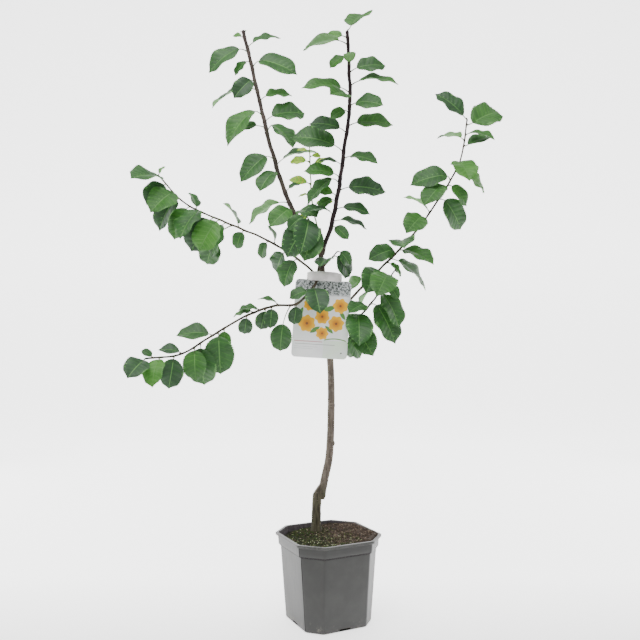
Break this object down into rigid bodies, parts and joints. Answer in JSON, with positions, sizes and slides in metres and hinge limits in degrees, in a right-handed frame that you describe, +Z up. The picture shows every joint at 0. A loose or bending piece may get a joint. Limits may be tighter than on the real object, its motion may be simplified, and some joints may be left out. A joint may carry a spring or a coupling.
{
  "type": "potted young plum tree",
  "caption": "Grafted young plum tree with upright leaders and arching side boughs in leaf, standing in an eight-sided grey nursery pot of compost, with a card label on its trunk.",
  "frame": {"origin": "middle of the pot's flat underside", "axes": "+Z up along the trunk, front faces -Y"},
  "size_m": [0.9395, 0.4016, 1.4552],
  "materials": {
    "pot_grey_plastic": "satin",
    "compost": "matte, crumbly",
    "trunk_bark": "matte bark",
    "leader_bark": "smooth dark bark",
    "bough_bark": "smooth olive bark",
    "leaf_green": "satin leaves",
    "young_leaf_green": "satin young leaves",
    "label_card_print": "satin printed plastic card",
    "label_strap_plastic": "satin plastic strip"
  },
  "bodies": {
    "root": {"pot": "pot_grey_plastic", "root_ball": "compost", "trunk": "trunk_bark", "left_leader": "leader_bark", "right_leader": "leader_bark", "upper_left_bough": "bough_bark", "lower_left_bough": "bough_bark", "right_bough": "bough_bark", "low_right_bough": "bough_bark", "left_leader_leaves": "leaf_green", "right_leader_leaves": "leaf_green", "centre_shoot_leaves": "young_leaf_green", "upper_left_bough_leaves": "leaf_green", "lower_left_bough_leaves": "leaf_green", "right_bough_leaves": "leaf_green", "low_right_bough_leaves": "leaf_green", "fork_spur_leaves": "leaf_green", "collar_spur_leaves": "leaf_green", "label_spur_leaves": "leaf_green", "label_card": "label_card_print", "label_strap": "label_strap_plastic"}
  },
  "joints": []
}
